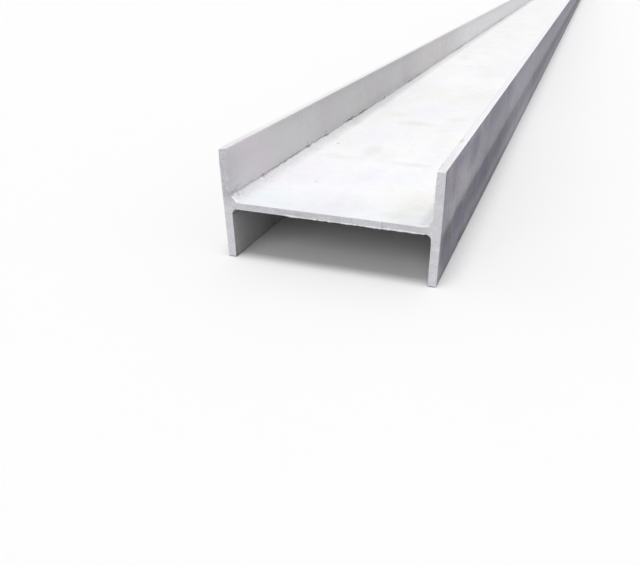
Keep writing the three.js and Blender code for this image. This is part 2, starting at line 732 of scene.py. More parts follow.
    def _grime(self, down: np.ndarray, edge: np.ndarray, line: Stations) -> np.ndarray:
        """How grimy the strip is: a dark line of uneven width along its edge, from 0 to 1."""
        soiled, blots = self._soiled(line.along), self._blots(line)
        width = (0.55 + 0.15 * line.noise(68, self.row, 9 * MM) + 0.20 * blots + 0.50 * soiled) * MM
        dark = 0.60 + 0.20 * line.noise(69, self.row, 24 * MM) + 0.22 * blots + 0.45 * soiled
        dark = dark * (1 - 0.30 * np.exp(-line.from_end / (30 * MM)))
        return np.clip(bell(down - edge + 0.3 * width, width) * dark, 0.0, 1.0)


@dataclass(frozen=True)
class CutBurr(BeamPart):
    """The ragged lip that the cut leaves along the web's lower edge."""

    end: End  # which end it is on
    spacing: float = 0.35 * MM  # distance between the places where its oval is set
    tooth: float = 1.9 * MM  # spacing of its teeth
    point: float = 0.7 * MM  # spacing of the points on them
    tuft: float = 14 * MM  # spacing of the stretches where it is taller
    drop: tuple[float, float] = (0.20 * MM, 1.15 * MM)  # least and greatest height each way from its middle
    lowered: float = 0.1 * MM  # how far that middle lies under the web's lower edge
    thickness: float = 1.2 * MM  # its thickness along the beam, at most
    tuck: float = 0.02 * MM  # how far it stays behind the beam's end
    clean_until: float = -42 * MM  # x up to which the cut came out clean
    sides: int = 8  # points round the lip
    crease_deg: float = 50.0  # edges that turn by more than this stay sharp

    def build(self) -> bpy.types.Object:
        """The lip as a closed bead.

        Round each place along the web it is an oval, whose height and thickness follow a rough
        noise, and whose middle lies just under the web's lower edge.
        """
        x = np.arange(-self.section.root_end, self.section.root_end, self.spacing)
        ragged = self._ragged(x)
        high = self.drop[0] + ragged * (self.drop[1] - self.drop[0])
        deep = self.thickness / 2 * (0.35 + 0.65 * ragged)
        angle = np.arange(self.sides) / self.sides * 2 * math.pi
        inset = self.half_length - self.thickness / 2 - self.tuck
        edge = self.mid_height - self.section.web_thickness / 2 - self.lowered
        grid = np.empty((len(x), self.sides, 3))
        grid[..., 0] = x[:, None]
        grid[..., 1] = self.end.value * inset + deep[:, None] * np.cos(angle)
        grid[..., 2] = edge + high[:, None] * np.sin(angle)
        return Patch.tube(grid).mesh_object(f"cut_burr_{self.end.name.lower()}", self.crease_deg)

    def _ragged(self, x: np.ndarray) -> np.ndarray:
        """How tall the lip is along the web, from 0 to 1: teeth and tufts, fading at both sides."""
        place = x * -self.end.value
        seed = 70 + self.end.value
        teeth = SmoothNoise(seed)(place / self.tooth, 0.5)
        points = SmoothNoise(seed + 3)(place / self.point, 0.5)
        tufts = SmoothNoise(seed + 6)(place / self.tuft, 0.5)
        ragged = np.clip(0.45 + (teeth * 0.6 + points * 0.25) + 0.30 * tufts, 0.0, 1.0)
        ragged = ragged * smooth_step((place - self.clean_until) / (8 * MM))
        return ragged * smooth_step((self.section.root_end - np.abs(x)) / (3 * MM))


# ------------------------------------------------------------------ shader expressions


def math_operator(operation: str) -> Callable[..., "Value"]:
    """An operator of Value, which adds a Math node of this kind.

    Args:
        operation: the kind of Math node.

    Returns:
        The operator.
    """

    def operate(value: "Value", *others: "Value | float") -> "Value":
        """Adds the node for a value and others."""
        return value.math(operation, *others)

    return operate


class Value:
    """A shader socket that takes part in Python expressions.

    Each operator adds a Math node to the tree and gives its output, also where the other
    operand is a plain number.
    """

    def __init__(self, graph: "Graph", socket: bpy.types.NodeSocket) -> None:
        """Wraps an output socket.

        Args:
            graph: the tree that holds the socket.
            socket: the output socket.
        """
        self.graph = graph
        self.socket = socket

    def math(self, operation: str, *others: "Value | float") -> "Value":
        """A Math node on this value and others."""
        return self.graph.node("ShaderNodeMath", {"operation": operation}, self, *others)

    __add__ = __radd__ = math_operator("ADD")
    __sub__ = math_operator("SUBTRACT")
    __mul__ = __rmul__ = math_operator("MULTIPLY")
    __truediv__ = math_operator("DIVIDE")
    __abs__ = math_operator("ABSOLUTE")
    most = math_operator("MAXIMUM")

    def __rsub__(self, other: float) -> "Value":
        """other - self."""
        return self.math("MULTIPLY", -1.0).math("ADD", other)

    def step(self, low: float, high: float) -> "Value":
        """A smooth step from 0 at low to 1 at high; high may be the smaller."""
        settings = {"interpolation_type": "SMOOTHSTEP"}
        ends = (low, high, 0.0, 1.0) if low < high else (high, low, 1.0, 0.0)
        return self.graph.node("ShaderNodeMapRange", settings, self, *ends)

    def past(self, edge: float, start_mm: float, full_mm: float) -> "Value":
        """A smooth step over an edge, from 0 at start_mm past it to 1 at full_mm past it."""
        return self.step(edge + start_mm * MM, edge + full_mm * MM)


class Graph:
    """A node tree, written as expressions.

    Attributes:
        tree: the tree.
    """

    def __init__(self, tree: bpy.types.NodeTree) -> None:
        """Keeps the tree."""
        self.tree = tree

    def node(
        self, kind: str, settings: dict, *inputs: "Value | float | tuple | None", output: str = ""
    ) -> Value:
        """Adds a node.

        Args:
            kind: the node's type.
            settings: its properties, set before its sockets.
            inputs: values or links for its live sockets, in order; None leaves one as it is.
            output: name of the output to give back, or nothing for the first live one.

        Returns:
            That output.
        """
        node = self.tree.nodes.new(kind)
        for key, value in settings.items():
            setattr(node, key, value)
        for socket, value in zip([live for live in node.inputs if live.enabled], inputs):
            if isinstance(value, Value):
                self.tree.links.new(value.socket, socket)
            elif value is not None:
                socket.default_value = value
        chosen = node.outputs[output] if output else next(live for live in node.outputs if live.enabled)
        return Value(self, chosen)

    def named(self, kind: str) -> bpy.types.Node:
        """The tree's own node of a type."""
        return next(node for node in self.tree.nodes if node.type == kind)

    def mix(self, share: "Value | float", first: "Value | tuple", second: "Value | Tint | tuple") -> Value:
        """A colour between two: the first where the share is 0, the second where it is 1."""
        second = second.value if isinstance(second, Tint) else second
        return self.node("ShaderNodeMix", {"data_type": "RGBA"}, share, first, second)

    def vector(self, operation: str, *vectors: "Value | tuple") -> Value:
        """A Vector Math node on vectors or colours."""
        return self.node("ShaderNodeVectorMath", {"operation": operation}, *vectors)

    def feed(self, node: bpy.types.Node, socket: str, value: Value) -> None:
        """Links a value to a socket of a node."""
        self.tree.links.new(value.socket, node.inputs[socket])

    def seen(self) -> Value:
        """1 for what the eye, a reflection or glass shows, 0 for what lights the beam."""
        camera, glossy, glass = (
            self.node("ShaderNodeLightPath", {}, output=f"Is {ray} Ray")
            for ray in ("Camera", "Glossy", "Transmission")
        )
        return camera.most(glossy).most(glass)


class Paint(Graph):
    """A material that follows Object coordinates.

    Attributes:
        material: the material.
        surface: its Principled BSDF node.
        half_length: from mid-length to a cut end.
        place: Object coordinates.
        x: across the beam's depth.
        y: along the beam.
        z: above the floor.
    """

    NOISE_GAIN = 3.2  # brings most of Blender's noise, less its middle, to between -1 and 1
    NOISE_ROUGHNESS = 0.55
    RIM_UNEVENNESS = 0.22  # of a mark, in half sizes

    def __init__(self, name: str, half_length: float) -> None:
        """Makes the material.

        Args:
            name: its name.
            half_length: from mid-length to a cut end.
        """
        self.material = bpy.data.materials.new(name)
        self.material.use_nodes = True
        super().__init__(self.material.node_tree)
        self.surface = self.named("BSDF_PRINCIPLED")
        self.half_length = half_length
        self.place = self.node("ShaderNodeTexCoord", {}, output="Object")
        axes = (self.node("ShaderNodeSeparateXYZ", {}, self.place, output=axis) for axis in "XYZ")
        self.x, self.y, self.z = axes

    def beyond(self, start_mm: float, full_mm: float) -> Value:
        """0 as far as start_mm from the near end and 1 from full_mm on, or the other way round."""
        return self.y.past(-self.half_length, start_mm, full_mm)

    def cells(self, sizes_mm: tuple[float, float, float], shift: float) -> Value:
        """Object coordinates counted in cells of the given sizes, then shifted."""
        counts = tuple(1 / (size * MM) for size in sizes_mm)
        return self.vector("ADD", self.vector("MULTIPLY", self.place, counts), (shift, shift, shift))

    def noise(self, where: Value, detail: float) -> Value:
        """Cloudy noise about 0, mostly between -1 and 1, at coordinates counted in cells."""
        noise = self.node("ShaderNodeTexNoise", {}, where, 1.0, detail, self.NOISE_ROUGHNESS)
        return (noise - 0.5) * self.NOISE_GAIN

    def cloud(self, sizes_mm: tuple[float, float, float], shift: float, detail: float = 3.0) -> Value:
        """Cloudy noise with cells of the given sizes."""
        return self.noise(self.cells(sizes_mm, shift), detail)

    def specks(self, size_mm: float, radius: float, share: float, shift: float) -> Value:
        """Round dots: one to a cell of the given size, in some of the cells only.

        Args:
            size_mm: size of a cell.
            radius: radius of a dot, in cells.
            share: share of the cells that have one.
            shift: picks another set.

        Returns:
            1 inside a dot and 0 outside.
        """
        cells = self.cells((size_mm, size_mm, size_mm), shift)
        near = self.node("ShaderNodeTexVoronoi", {}, cells, 1.0, output="Distance")
        colour = self.node("ShaderNodeTexVoronoi", {}, cells, 1.0, output="Color")
        chance = self.node("ShaderNodeSeparateXYZ", {}, colour, output="X")
        return near.step(radius, 0.6 * radius) * chance.step(share + 0.02, share)

    def oval(self, mark: "Mark", ragged: Value) -> Value:
        """A soft ellipsoid with an uneven rim: the mark's strength in its middle, 0 outside."""
        centre = tuple(place * MM for place in mark.centre_mm)
        counts = tuple(1 / (half * MM) for half in mark.half_mm)
        off = self.vector("MULTIPLY", self.vector("SUBTRACT", self.place, centre), counts)
        off = self.node("ShaderNodeVectorMath", {"operation": "LENGTH"}, off, output="Value")
        return (off + ragged * self.RIM_UNEVENNESS).step(1.1, 0.2) * mark.strength

    def marked(self, colour: Value, marks: "tuple[Mark, ...]", ragged: Value) -> Value:
        """Lays marks over a colour, broken into streaks that run across the beam."""
        streaks = self.cloud((24, 3, 8), 54.4, detail=4).step(-1.3, 0.9)
        for mark in marks:
            colour = self.mix(self.oval(mark, ragged) * (0.35 + 0.65 * streaks), colour, mark.tint)
        return colour

    def shade(self, colour: "Value | tuple", factor: Value) -> Value:
        """A colour times a number."""
        return self.vector("SCALE", colour if isinstance(colour, Value) else colour[:3], factor)

    def bump(self, height: Value, depth_mm: float, under: Value | None = None) -> Value:
        """A normal from a height, over another normal where one is given."""
        node = self.tree.nodes.new("ShaderNodeBump")
        node.inputs["Strength"].default_value = 1.0
        node.inputs["Distance"].default_value = depth_mm * MM
        self.feed(node, "Height", height)
        if under is not None:
            self.feed(node, "Normal", under)
        return Value(self, node.outputs["Normal"])


# ------------------------------------------------------------------ the finish


def grey(level: float, warm: float = 0.0, blue: float = 0.0) -> tuple[float, float, float, float]:
    """A linear colour close to grey.

    Args:
        level: its brightness.
        warm: added to red, and half of it to green.
        blue: added to blue.

    Returns:
        Red, green, blue and full opacity.
    """
    return (level + warm, level + 0.5 * warm, level + blue, 1.0)


class Tint(Enum):
    """Colours that lie over the steel in places, some of them as painted light."""

    GRIME = (0.46, 0.46, 0.48, 1.0)
    RUST = (0.50, 0.43, 0.22, 1.0)
    SEAM = (0.17, 0.16, 0.16, 1.0)
    # near white: rubbed toe edges and pale cut rims, and painted light on the root fillets, the cut burr and
    # some marks
    BRIGHT = (0.95, 0.95, 0.96, 1.0)
    # pure white, used only for painted highlights
    WHITE = (1.0, 1.0, 1.0, 1.0)
    LILAC = (0.805, 0.775, 0.868, 1.0)
    KHAKI = (0.82, 0.82, 0.75, 1.0)
    CYAN = (0.76, 0.86, 0.88, 1.0)
    SLATE = (0.36, 0.345, 0.47, 1.0)
    MAUVE = (0.64, 0.53, 0.61, 1.0)
    MOSS = (0.27, 0.34, 0.33, 1.0)
    BROWN = (0.52, 0.49, 0.48, 1.0)
    PINK = (0.80, 0.735, 0.80, 1.0)
    PEARL = (0.78, 0.80, 0.84, 1.0)
    FROST = (0.84, 0.85, 0.84, 1.0)
    HEATHER = (0.72, 0.67, 0.74, 1.0)
    SAND = (0.70, 0.70, 0.64, 1.0)
    TEAL = (0.56, 0.63, 0.64, 1.0)
    VIOLET = (0.59, 0.54, 0.69, 1.0)


@dataclass(frozen=True)
class Mark:
    """A soft patch of another colour."""

    tint: Tint
    strength: float  # how far it takes over in its middle
    centre_mm: tuple[float, float, float]  # x, y and height of its middle
    # half its size each way; what lies outside this ellipsoid stays clean
    half_mm: tuple[float, float, float]


def marks(*rows: tuple) -> tuple[Mark, ...]:
    """Marks, from rows of tint, strength, the middle's x, y and height, and half the size each way."""
    return tuple(Mark(tint, strength, numbers[:3], numbers[3:]) for tint, strength, *numbers in rows)


WEB_MARKS = marks(
    (Tint.LILAC, 0.34, -24, -2712, 53, 60, 64, 4),
    (Tint.LILAC, 0.40, 42, -2730, 53, 12, 56, 4),
    (Tint.LILAC, 0.40, -5, -2570, 53, 34, 80, 4),
    (Tint.LILAC, 0.34, -58, -2884, 53, 40, 64, 4),
    (Tint.LILAC, 0.30, 2, -2884, 53, 16, 26, 4),
    (Tint.KHAKI, 0.20, -50, -2620, 53, 36, 50, 4),
    (Tint.KHAKI, 0.35, 38, -2700, 53, 28, 44, 4),
    (Tint.KHAKI, 0.35, 10, -2455, 53, 80, 60, 4),
    (Tint.BROWN, 0.10, 38, -2605, 53, 20, 22, 4),
    (Tint.BROWN, 0.15, -24, -2790, 53, 14, 32, 4),
    (Tint.CYAN, 0.38, -66, -2970, 53, 28, 30, 4),
    (Tint.CYAN, 0.34, -28, -2914, 53, 16, 18, 4),
    (Tint.CYAN, 0.28, 38, -2870, 53, 24, 36, 4),
    (Tint.CYAN, 0.22, -44, -2788, 53, 9, 16, 4),
    (Tint.MOSS, 0.07, 8, -2968, 53, 26, 30, 4),
    (Tint.KHAKI, 0.50, 60, -2950, 53, 30, 60, 4),
    (Tint.BROWN, 0.20, 54, -2982, 53, 14, 10, 4),
    (Tint.GRIME, 0.24, -8, -2646, 53, 34, 20, 4),
    (Tint.GRIME, 0.22, 32, -2830, 53, 32, 11, 4),
    (Tint.GRIME, 0.16, -52, -2828, 53, 34, 12, 4),
    (Tint.GRIME, 0.11, -14, -2806, 53, 26, 40, 4),
    (Tint.GRIME, 0.16, -62, -2819, 53, 10, 9, 4),
    (Tint.GRIME, 0.12, -46, -2604, 53, 18, 14, 4),
    (Tint.SEAM, 0.50, -70.5, -2775, 53, 2.4, 4, 4),
    (Tint.SEAM, 0.45, -42, -2918, 53, 1.5, 2.6, 4),
    (Tint.RUST, 0.30, -84, -2810, 55, 5, 12, 4),
    (Tint.GRIME, 0.30, -82, -2668, 55, 9, 26, 5),
    (Tint.GRIME, 0.30, -84, -2750, 55, 6, 8, 4),
    (Tint.GRIME, 0.32, -84, -2930, 56, 4, 6, 5),
    (Tint.GRIME, 0.22, -80, -2540, 55, 10, 60, 5),
    (Tint.GRIME, 0.15, 40, -2150, 53, 75, 190, 4),
    (Tint.BRIGHT, 0.30, -62, -2850, 53, 30, 60, 4),
    (Tint.GRIME, 0.26, 74, -2972, 53, 26, 60, 4),
)

FLANGE_MARKS = marks(
    (Tint.RUST, 0.65, 93.5, -2901, 100, 2.4, 12, 3),
    (Tint.RUST, 0.80, 92.0, -2983, 100, 2.2, 7, 4),
    (Tint.SLATE, 0.80, 100, -2998, 92, 3, 4, 16),
    (Tint.MAUVE, 0.50, 100, -2966, 84, 3, 26, 32),
    (Tint.PEARL, 0.88, 100, -3000, 6, 3, 28, 9),
    (Tint.PEARL, 0.20, 100, -2995, 26, 3, 10, 11),
    (Tint.SLATE, 0.20, 100, -2992, 66, 3, 10, 50),
    (Tint.CYAN, 0.22, 100, -2996, 68, 3, 14, 26),
    (Tint.MOSS, 0.43, 100, -2976, 38, 3, 22, 22),
    (Tint.SLATE, 0.35, 100, -2966, 25, 3, 20, 12),
    (Tint.SLATE, 0.35, 100, -2880, 26, 3, 40, 12),
    (Tint.MAUVE, 0.25, 100, -2940, 20, 3, 34, 22),
    (Tint.SLATE, 0.65, 100, -2914, 31, 3, 30, 18),
    (Tint.FROST, 0.60, 100, -2905, 68, 3, 34, 26),
    (Tint.SLATE, 0.50, 100, -2850, 84, 3, 44, 20),
    (Tint.SLATE, 0.60, 100, -2770, 34, 3, 90, 22),
    (Tint.SLATE, 0.35, 100, -2720, 88, 3, 60, 20),
    (Tint.PEARL, 0.70, -92, -2990, 66, 3, 40, 26),
    (Tint.PINK, 0.75, -92, -2972, 86, 3, 60, 30),
    (Tint.PINK, 0.65, -92, -2930, 70, 3, 34, 24),
    (Tint.BROWN, 0.30, -92, -2740, 78, 3, 130, 40),
    (Tint.BROWN, 0.30, -92, -2560, 74, 3, 110, 40),
    (Tint.BROWN, 0.56, -92, -2150, 78, 3, 360, 60),
    (Tint.SEAM, 0.30, -92, -2990, 61.5, 3, 5, 0.8),
    (Tint.SEAM, 0.22, -92, -2986, 64.0, 3, 4, 0.7),
    (Tint.SEAM, 0.13, -92, -2985, 62.8, 3, 10, 3.2),
    (Tint.SEAM, 0.34, -92, -2996, 61, 3, 3.5, 1.6),
    (Tint.GRIME, 0.60, -91.0, -2988.3, 56.6, 2.4, 2.2, 2.8),
    # Painted highlights at the near end of the left upper root.
    (Tint.WHITE, 1.00, -91.4, -2992.2, 57.4, 2.4, 2.4, 2.0),
    (Tint.WHITE, 0.80, -91.4, -2984.5, 57.5, 2.4, 2.0, 1.6),
    (Tint.WHITE, 1.00, -88.0, -2997, 54.6, 4.4, 5.0, 3.4),
    (Tint.SEAM, 0.30, -92, -2817, 61.5, 3, 3, 3.5),
    (Tint.SEAM, 0.50, -91.4, -2933, 58.2, 2, 1.8, 3.2),
    (Tint.BRIGHT, 0.90, -90.8, -2939, 57, 2.4, 4, 2.4),
    (Tint.MOSS, 0.90, 91, -2996, 57.5, 3, 6, 5),
    # A painted highlight on the web's near upper edge by the right root.
    (Tint.BRIGHT, 1.00, 84, -3000, 54, 8, 5, 4),
    (Tint.SEAM, 0.30, -92, -2759, 60.5, 3, 5, 2),
)

CUT_MARKS = marks(
    (Tint.GRIME, 0.34, -27, -3000, 49, 20, 4, 3),
    (Tint.BRIGHT, 0.30, 22, -3000, 52, 30, 4, 4),
    (Tint.BRIGHT, 0.20, -99, -3000, 12, 4, 4, 18),
    (Tint.GRIME, 0.34, -94, -3000, 57, 8, 4, 9),
)


@dataclass(frozen=True)
class PickledSteel(BeamPart):
    """Pickled rolled steel: pale and matt, mottled, with dark lines along the roots."""

    web: tuple = grey(0.875, blue=0.01)
    inner: tuple = grey(0.72, warm=0.004, blue=0.015)  # the flanges' inner faces
    # The outer faces' colour is darker than the other faces', partly as painted shade of their side.
    outer: tuple = grey(0.63, warm=0.012, blue=0.068)  # the flanges' outer faces
    toe: tuple = grey(0.80, blue=0.015)
    cut: tuple = grey(0.86, blue=0.048)
    metallic: float = 0.06  # how far the surface is bare metal
    gloss: float = 0.0  # how strongly it reflects
    roughness: float = 0.58  # how matt it is
    grain_mm: float = 0.07  # depth of the fine grain
    dimples_mm: float = 0.25  # depth of the broader dimples

    def material(self) -> bpy.types.Material:
        """Builds the finish.

        Each kind of face has a colour of its own. Masks on the distances from the web's
        middle plane, from mid-depth and from mid-length choose between them, and marks that
        belong to edges and roots lie over all.

        Returns:
            The material.
        """
        paint, section = Paint("pickled_steel", self.half_length), self.section
        side, level = abs(paint.x), abs(paint.z - self.mid_height)
        patches = paint.cloud((45, 80, 45), 3.1)
        grain = paint.cloud((1.3, 1.3, 1.3), 5.2)
        ragged = paint.cloud((6, 5, 6), 52.6)

        is_web = side.past(section.inner_face, -0.1, -1.2)
        is_outer = side.past(section.half_depth, -1.1, -0.6)
        is_toe = level.past(section.half_width, -1.1, -0.6) * side.past(section.half_depth, -0.35, -0.95)
        is_cut = abs(paint.y).past(self.half_length, -0.75, -0.60)

        web = paint.marked(self._web(paint, patches), WEB_MARKS, ragged)
        colour = paint.mix(is_web, self._inner(paint, patches, level), web)
        colour = paint.mix(is_outer, colour, self._outer(paint, patches, level))
        colour = self._roots(paint, colour, side, level)
        tinged = paint.vector("MULTIPLY", colour, (1.003, 0.996, 1.008))
        colour = paint.mix(is_web * paint.beyond(190, 130), colour, tinged)
        colour = paint.mix(is_toe, colour, self._toes(paint, side))
        colour = paint.marked(colour, FLANGE_MARKS, ragged)
        colour = paint.mix(is_cut, colour, self._cut(paint, side, level))
        paint.feed(paint.surface, "Base Color", paint.shade(colour, 1 + grain * 0.045))

        paint.surface.inputs["Specular IOR Level"].default_value = self.gloss
        paint.feed(paint.surface, "Roughness", self.roughness + patches * 0.04 + grain * 0.04)
        paint.feed(paint.surface, "Metallic", self.metallic + patches * 0.03)
        dimples = paint.bump(paint.cloud((7, 11, 7), 12.4, detail=2), self.dimples_mm)
        paint.feed(paint.surface, "Normal", paint.bump(grain, self.grain_mm, dimples))
        return paint.material

    def _web(self, paint: Paint, patches: Value) -> Value:
        """The web's faces: near white, faintly clouded, with cross streaks and pits."""
        cool, warm = paint.cloud((40, 60, 40), 21.3), paint.cloud((34, 55, 34), 33.8)
        colour = paint.mix(cool.step(-0.2, 1.2) * 0.40, self.web, Tint.LILAC)
        colour = paint.mix(warm.step(-0.2, 1.2) * 0.40, colour, Tint.KHAKI)
        blotches = paint.cloud((9, 12, 9), 37.4)
        streaks = paint.cloud((60, 5, 300), 41.7).step(0.5, 1.3)
        rolled = paint.cloud((2.5, 900, 40), 44.2, detail=2)
        pits = paint.specks(17, 0.045, 0.30, 47.1)
        near = paint.beyond(75, 0)
        # far is painted shade: the web is darkened in stretches farther from the near end.
        far = paint.beyond(250, 500) * paint.beyond(700, 560) + paint.beyond(850, 1150) * 1.4
        tone = 1 + patches * 0.02 + blotches * 0.025 + rolled * 0.008 - streaks * 0.06 - pits * 0.35
        colour = paint.shade(paint.mix(near * 0.2, colour, Tint.CYAN), tone - near * 0.04 - far * 0.03)
        stained = paint.cloud((14, 45, 14), 57.9).step(0.2, 1.1)
        stained = stained * abs(paint.x).past(self.section.root_end, -12, 2)
        return paint.mix(stained * 0.14, colour, Tint.BROWN)

    def _inner(self, paint: Paint, patches: Value, level: Value) -> Value:
        """The flanges' inner faces: light grey with lilac and khaki patches and faint bands."""
        lilac = paint.cloud((70, 75, 60), 61.2, detail=2).step(-0.2, 1.1)
        khaki = paint.cloud((60, 110, 50), 66.6, detail=2).step(0.0, 1.2)
        colour = paint.mix(khaki * 0.7, paint.mix(lilac * 0.7, self.inner, Tint.HEATHER), Tint.SAND)
        bands = paint.cloud((500, 16, 90), 71.5)
        spots = paint.specks(24, 0.05, 0.30, 74.0)
        low = level.past(self.section.root_top, 12, 0)
        high = level.past(self.section.half_width, -14, -1) * paint.beyond(60, 160)
        # Painted light and shade: within about 90 mm of each end the faces are made lighter and their lower
        # part darker.
        rubbed = abs(paint.y).past(self.half_length, -90, 0)
        tone = 1 + bands * 0.014 + patches * 0.03 - spots * 0.22
        tone = tone - low * (0.06 + rubbed * 0.08) + rubbed * 0.14 - high * 0.09
        # drift is painted light and shade: the faces are made lighter or darker in stretches along the beam.
        drift = paint.beyond(24, 0) * 0.04 - paint.beyond(180, 330) * 0.045 + paint.beyond(600, 780) * 0.25
        return paint.shade(colour, tone + drift)

    def _outer(self, paint: Paint, patches: Value, level: Value) -> Value:
        """The flanges' outer faces: mid grey, clouded and streaked, with painted shade on their lower half
        and painted light above it and along the beam.
        """
        cool = paint.cloud((60, 40, 40), 81.9).step(-0.2, 0.9)
        lilac = paint.cloud((60, 60, 40), 86.3).step(-0.3, 0.8)
        colour = paint.mix(lilac * 0.65, paint.mix(cool * 0.8, self.outer, Tint.TEAL), Tint.VIOLET)
        streaks = paint.cloud((500, 9, 60), 91.4)
        blotches = paint.cloud((30, 26, 12), 95.2)
        grit = paint.cloud((1.8, 2.6, 1.8), 99.1)
        rough = paint.beyond(400, 60) * 0.7 + 0.6
        tone = 1 + (streaks * 0.07 + blotches * 0.13 + grit * 0.11) * rough + patches * 0.05

        # Painted shade: the lower half is darkened, with a wavering upper edge, half as strong on the left
        # face, and it clears towards the floor, near the end and farther along the beam.
        end = paint.beyond(100, 30)
        drift = paint.cloud((140, 190, 140), 93.1, detail=2) * 3 * MM
        height = paint.z - self.mid_height + drift + end * 6.5 * MM
        clear = height.past(0, -16, -38) + height.past(0, -36, -47) * end
        rim = paint.beyond(24, 2) + paint.beyond(9, 0) * 0.75
        clean = paint.beyond(380, 560)
        below = height.past(0, 5, -5) * (1 - 0.5 * paint.x.step(0.0, -0.09))
        below = below * (0.36 - 0.24 * clear - 0.22 * rim - 0.08 * clean)

        # Painted light: a band just above the painted shade, the near end and stretches farther along are
        # made lighter.
        above = height.past(0, 0, 12) * height.past(0, 36, 14)
        near = paint.beyond(320, 40) * height.past(0, -5, 5)
        pale = paint.beyond(400, 520) * paint.beyond(860, 740)
        crown = level.past(self.section.half_width, -14, -7)
        edge = level.past(self.section.half_width, -4, -1.2)
        dashes = paint.cloud((40, 3, 2), 97.7).step(-0.4, 1.2) * edge
        tone = tone + above * 0.05 + (near + clean + pale) * 0.10 - below
        return paint.shade(colour, tone - crown * 0.11 - edge * 0.07 - dashes * 0.28)

    def _roots(self, paint: Paint, colour: Value, side: Value, level: Value) -> Value:
        """Lays the roots' marks over the faces: strokes across the fillet, painted light on the fillet,
        painted shade on the web beside it, and the grimy edge.
        """
        section = self.section
        in_root = side.past(section.inner_face, 0.5, 0.2) * level.past(section.root_top, 1.0, -0.5)
        band = in_root * side.past(section.root_end, -4, 1.5)
        lean = paint.y / 1.3 + paint.z / 1.8
        slanted = paint.node("ShaderNodeCombineXYZ", {}, paint.x / 9, lean, paint.z / 9)
        strokes = paint.noise(paint.vector("MULTIPLY", slanted, (1 / MM, 1 / MM, 1 / MM)), 3.0).step(0.0, 1.2)
        flecks = paint.specks(3.0, 0.20, 0.14, 117.7)
        smudges = paint.cloud((14, 9, 14), 109.3).step(0.2, 1.3)
        rough = 0.34 + 0.26 * paint.beyond(42, 20) * paint.x.step(0, -0.09)
        # Painted light: the fillet is made near white, brighter than its slope is lit.
        colour = paint.mix(band * 0.8, colour, Tint.BRIGHT)
        colour = paint.shade(colour, 1 - band * (strokes * rough + flecks * 0.35 + smudges * 0.12))
        # Painted shade: the web beside the root is darkened, more so farther from the near end.
        beside = in_root * side.past(section.root_end, -11, -1)
        far = paint.beyond(130, 400) * (1 - 0.4 * paint.beyond(680, 820))
        stain = 0.06 + 0.12 * far + 0.14 * paint.x.step(0, 0.09) * (1 - far)
        colour = paint.shade(colour, 1 - beside * (stain + smudges * 0.05))
        grime = paint.node("ShaderNodeAttribute", {"attribute_name": "grime"}, output="Fac")
        return paint.mix(grime * 0.85, colour, Tint.SEAM)

    def _toes(self, paint: Paint, side: Value) -> Value:
        """The toes: pale, rubbed bright along their outer edge, with short dark nicks."""
        rubbed = paint.cloud((3, 60, 3), 121.1, detail=2)
        nicks = paint.cloud((2.2, 5, 2.2), 124.6).step(0.75, 1.2)
        edge = (side + rubbed * 0.3 * MM).past(self.section.half_depth, -2.4, -1.2)
        inner = side.past(self.section.inner_face, 1.5, 0.3)
        right = paint.x.step(0.0, 0.09)
        colour = paint.mix(edge * (0.35 + 0.55 * right), self.toe, Tint.BRIGHT)
        tone = 1 + right * 0.02 - paint.beyond(90, 30) * 0.07 - inner * 0.13
        return paint.shade(colour, tone + rubbed * 0.02 - nicks * 0.22)

    def _cut(self, paint: Paint, side: Value, level: Value) -> Value:
        """The cut faces: finely speckled, with faint saw lines, pale rims, a burr painted bright as a
        highlight, and one deep mark.
        """
        section, web_face = self.section, self.section.web_thickness / 2
        speckle = paint.cloud((0.9, 0.9, 0.9), 131.4)
        clouds = paint.cloud((16, 16, 16), 134.9, detail=2)
        saw = paint.cloud((60, 60, 0.8), 137.2, detail=2)
        streaks = paint.cloud((2.2, 3, 6), 141.8)
        height = paint.z - self.mid_height
        upper = height.past(0, -3, 11) * paint.x.step(0, -0.09)
        on_web = side.step(section.inner_face, section.root_end)
        tone = 1 + speckle * 0.18 + clouds * 0.045 + saw * 0.025
        tone = tone - upper * (0.16 + streaks * 0.10) - on_web * (0.085 + paint.x * 0.45)

        sides = side.past(section.inner_face, 0.9, 0.4).most(side.past(section.half_depth, -0.9, -0.4))
        flange_rim = sides * side.past(section.inner_face, -0.5, 0) * (1 - upper)
        web_rim = level.past(web_face, -0.8, -0.3)
        burr = (height + 0.25 * MM * speckle).past(-web_face, 0.5, 0)
        colour = paint.shade(self.cut, tone)
        colour = paint.mix(flange_rim.most(web_rim * on_web) * 0.45, colour, Tint.BRIGHT)
        # Painted highlight: the burr along the web's lower edge is made bright where it catches the light.
        colour = paint.mix(burr * on_web, colour, Tint.BRIGHT)
        scratch = abs(paint.x - 49.5 * MM).past(0, 0.7, 0.2) * paint.y.step(0, -0.1)
        colour = paint.mix(scratch * web_rim.step(1.0, 0.4) * 0.30, colour, Tint.SEAM)
        return paint.marked(colour, CUT_MARKS, speckle)


# ------------------------------------------------------------------ studio and camera


@dataclass(frozen=True)
class Lamp:
    """A sun lamp."""

    name: str
    tilt_deg: float  # angle from straight overhead
    heading_deg: float  # where the light comes from, clockwise from +Y seen from above
    spread_deg: float  # apparent width, which softens its shadows
    level: float  # light on a surface square to it, 1 being plain

    def build(self) -> None:
        """Adds the lamp."""
        lamp = bpy.data.lights.new(self.name, "SUN")
        lamp.energy = self.level * math.pi
        lamp.angle = math.radians(self.spread_deg)
        piece = bpy.data.objects.new(self.name, lamp)
        piece.rotation_euler = (math.radians(self.tilt_deg), 0, math.radians(180 - self.heading_deg))
        bpy.context.scene.collection.objects.link(piece)


